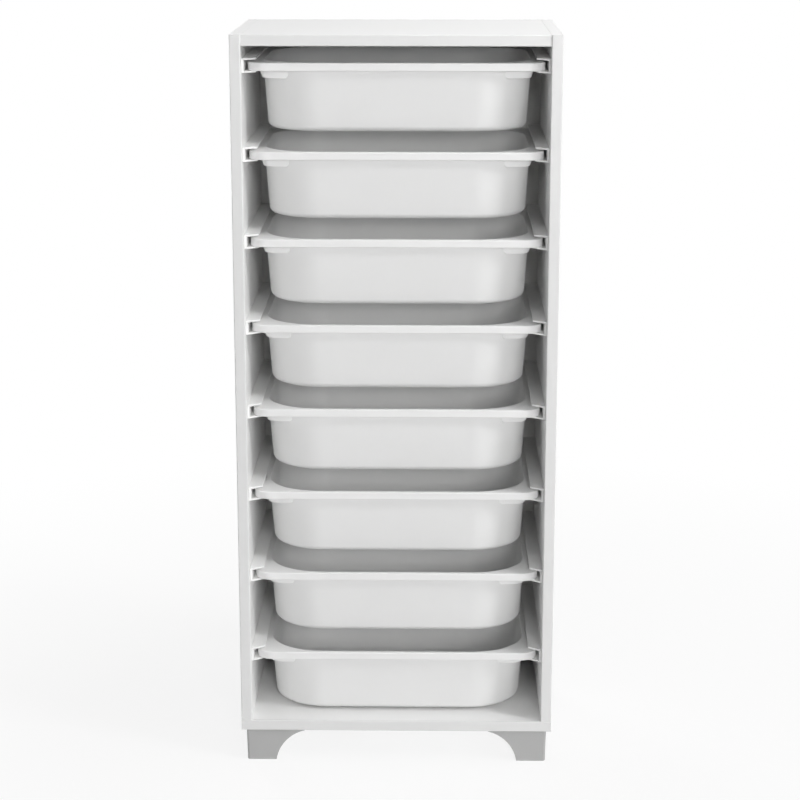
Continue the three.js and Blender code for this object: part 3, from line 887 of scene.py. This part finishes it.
def seen_rays(finish):
    """1 for rays that show the background: straight from the camera, or through gloss or glass."""
    rays = [finish.node("ShaderNodeLightPath", output=name)
            for name in ("Is Camera Ray", "Is Glossy Ray", "Is Transmission Ray")]
    return rays[0].most(rays[1]).most(rays[2])


def floor_finish(settings):
    """Pale floor: mostly plain white to the camera, with enough of the lit floor left to hold a shadow."""
    finish = Finish("studio_floor")
    grain = finish.noise(40.0, 3.0)
    tint = colours().floor
    finish.set(Base_Color=finish.blend(grain, rgba(tint, 0.99), rgba(tint, 1.01)))
    finish.set(Roughness=0.9)
    glow = finish.node("ShaderNodeEmission", {}, {"Color": (1, 1, 1, 1), "Strength": 1.0})
    away = finish.node("ShaderNodeVectorMath", {"operation": "LENGTH"}, {0: finish.place()}, output="Value")
    spread = {0: away, 1: settings.glow_start, 2: settings.glow_end, 3: settings.glow, 4: 1.0}
    share = seen_rays(finish) * finish.node("ShaderNodeMapRange", {}, spread)
    lit = Wire(finish, finish.shader.outputs[0])
    mixed = finish.node("ShaderNodeMixShader", {}, {0: share, 1: lit, 2: glow})
    finish.fill(finish.tree.nodes["Material Output"].inputs["Surface"], mixed)
    return finish.material


class SkyFinish(Finish):
    """The world's nodes, built with the same tools as a material's."""

    def __init__(self, world):
        world.use_nodes = True
        self.tree = world.node_tree
        self.shader = self.tree.nodes["Background"]


def softbox(name, place, aim, size, power):
    """A square area lamp that points at a spot."""
    lamp = bpy.data.lights.new(name, "AREA")
    lamp.size = size
    lamp.energy = power
    box = bpy.data.objects.new(name, lamp)
    box.location = place
    box.rotation_euler = (Vector(aim) - Vector(place)).to_track_quat("-Z", "Y").to_euler()
    bpy.context.scene.collection.objects.link(box)


class TRAYUNIT_OT_stage(bpy.types.Operator):
    """Add the floor, the studio light and the camera"""

    bl_idname = "tray_unit.stage"
    bl_label = "Stage"
    # White plastic in deep hollows passes light on many times.
    DIFFUSE_BOUNCES = 12
    FLOOR_REACH = 60.0
    SENSOR_WIDTH = 36.0
    # Place, aim and size of each lamp, in metres. The settings hold its power under the same name.
    LAMPS = {
        "key": ((5.2, -3.0, 4.65), (0.0, 0.0, 0.55), 1.6),
        "right": ((3.5, -6.0, 2.6), (0.0, 0.0, 0.5), 1.6),
        "front": ((0.75, -4.5, 1.66), (0.0, 0.0, 0.5), 0.78),
        "top": ((0.6, -0.3, 3.0), (0.0, 0.0, 1.0), 1.4),
        "rear": ((-1.7, 2.9, 0.7), (0.0, 0.0, 0.55), 0.9),
    }

    def execute(self, context):
        settings = context.scene.tray_unit.stage
        self.add_floor(settings)
        self.add_sky(context.scene, settings)
        self.add_lamps(settings)
        self.add_camera(context.scene, settings)
        context.scene.view_settings.view_transform = "Standard"
        context.scene.cycles.diffuse_bounces = self.DIFFUSE_BOUNCES
        return {"FINISHED"}

    def add_floor(self, settings):
        """A wide flat floor."""
        shape = bmesh.new()
        bmesh.ops.create_grid(shape, x_segments=2, y_segments=2, size=self.FLOOR_REACH)
        floor = bpy.data.objects.new("studio_floor", mesh_of("studio_floor", shape))
        floor.data.materials.append(floor_finish(settings))
        bpy.context.scene.collection.objects.link(floor)

    @staticmethod
    def add_sky(scene, settings):
        """Dim even light, with plain white where the background shows."""
        world = bpy.data.worlds.new("studio")
        scene.world = world
        sky = SkyFinish(world)
        white = sky.node("ShaderNodeBackground", {}, {"Color": (1, 1, 1, 1), "Strength": 1.0})
        sky.shader.inputs["Color"].default_value = (1, 1, 1, 1)
        sky.shader.inputs["Strength"].default_value = settings.sky
        dim = Wire(sky, sky.shader.outputs[0])
        mixed = sky.node("ShaderNodeMixShader", {}, {0: seen_rays(sky), 1: dim, 2: white})
        sky.fill(sky.tree.nodes["World Output"].inputs["Surface"], mixed)

    def add_lamps(self, settings):
        """All soft lamps."""
        for name, (place, aim, size) in self.LAMPS.items():
            softbox(f"{name}_softbox", place, aim, size, getattr(settings, name))

    def add_camera(self, scene, settings):
        """The camera at the photograph's viewing angle."""
        data = bpy.data.cameras.new("photo_camera")
        data.sensor_width = self.SENSOR_WIDTH
        data.lens = settings.lens
        camera = bpy.data.objects.new("photo_camera", data)
        scene.collection.objects.link(camera)
        tilt = Matrix.Rotation(math.pi / 2 - settings.camera_pitch, 4, "X")
        turn = Matrix.Rotation(settings.camera_yaw, 4, "Z")
        place = Matrix.Translation((settings.camera_side, -settings.camera_back, settings.camera_height))
        camera.matrix_world = place @ turn @ tilt
        scene.camera = camera


class TRAYUNIT_PT_panel(bpy.types.Panel):
    """Lists the steps of the build"""

    bl_label = "Tray storage unit"
    bl_idname = "TRAYUNIT_PT_panel"
    bl_space_type = "VIEW_3D"
    bl_region_type = "UI"
    bl_category = "Tray unit"

    def draw(self, context):
        for step in STEPS:
            self.layout.operator(step.bl_idname)


STEPS = (TRAYUNIT_OT_boards, TRAYUNIT_OT_trays, TRAYUNIT_OT_runners, TRAYUNIT_OT_feet, TRAYUNIT_OT_fittings,
         TRAYUNIT_OT_stage)
GROUPS = (TraySizes, RunnerSizes, FootSizes, FittingSizes, Colours, StageSettings, UnitSettings)
CLASSES = GROUPS + STEPS + (TRAYUNIT_PT_panel,)


def register():
    for item in CLASSES:
        bpy.utils.register_class(item)
    bpy.types.Scene.tray_unit = PointerProperty(type=UnitSettings)


def unregister():
    del bpy.types.Scene.tray_unit
    for item in reversed(CLASSES):
        bpy.utils.unregister_class(item)


def main():
    register()
    bpy.ops.tray_unit.boards()
    bpy.ops.tray_unit.trays()
    bpy.ops.tray_unit.runners()
    bpy.ops.tray_unit.feet()
    bpy.ops.tray_unit.fittings()
    bpy.ops.tray_unit.stage()


if __name__ == "__main__":
    main()
